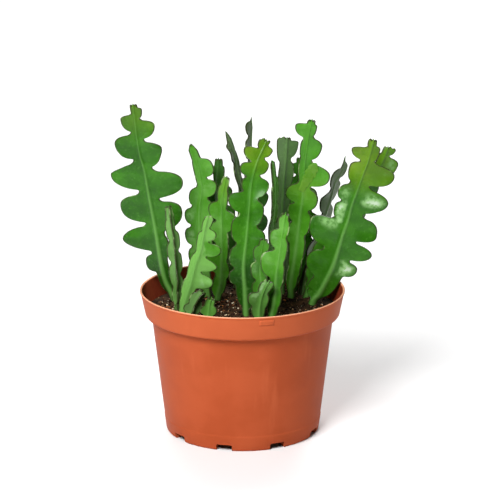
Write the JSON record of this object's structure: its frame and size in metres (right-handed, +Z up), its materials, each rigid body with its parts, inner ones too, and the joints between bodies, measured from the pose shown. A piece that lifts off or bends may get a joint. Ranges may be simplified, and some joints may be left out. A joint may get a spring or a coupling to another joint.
{
  "type": "potted orchid cactus",
  "caption": "Orchid cactus with flat green stems cut into deep rounded lobes, standing in soil in a round plastic nursery pot with a deep collar.",
  "frame": {"origin": "centre of the underside of the pot, on the surface that it stands on", "axes": "+Z up along the pot's axis, -Y towards the side that the picture shows, +X to the right in that view"},
  "size_m": [0.2263, 0.16, 0.2584],
  "materials": {
    "terracotta_plastic": "satin",
    "peat_soil": "matte",
    "stem_green": "satin"
  },
  "bodies": {
    "root": {"pot": "terracotta_plastic", "soil": "peat_soil", "stem_back_middle": "stem_green", "stem_back_right": "stem_green", "stem_centre_tall": "stem_green", "stem_dark_behind_left": "stem_green", "stem_dark_centre": "stem_green", "stem_leafy_centre_left": "stem_green", "stem_leaning_notched": "stem_green", "stem_left_front_thin": "stem_green", "stem_left_tall": "stem_green", "stem_light_front_left": "stem_green", "stem_light_front_right": "stem_green", "stem_right_behind": "stem_green", "stem_right_centre_tall": "stem_green", "stem_right_tall": "stem_green", "stem_small_centre": "stem_green", "stem_small_silver_front": "stem_green", "stem_stub_rounded": "stem_green", "stem_stub_striped": "stem_green", "stem_thin_back_centre": "stem_green", "stem_thin_back_left": "stem_green", "stem_thin_back_right": "stem_green", "stem_thin_centre": "stem_green"}
  },
  "joints": []
}
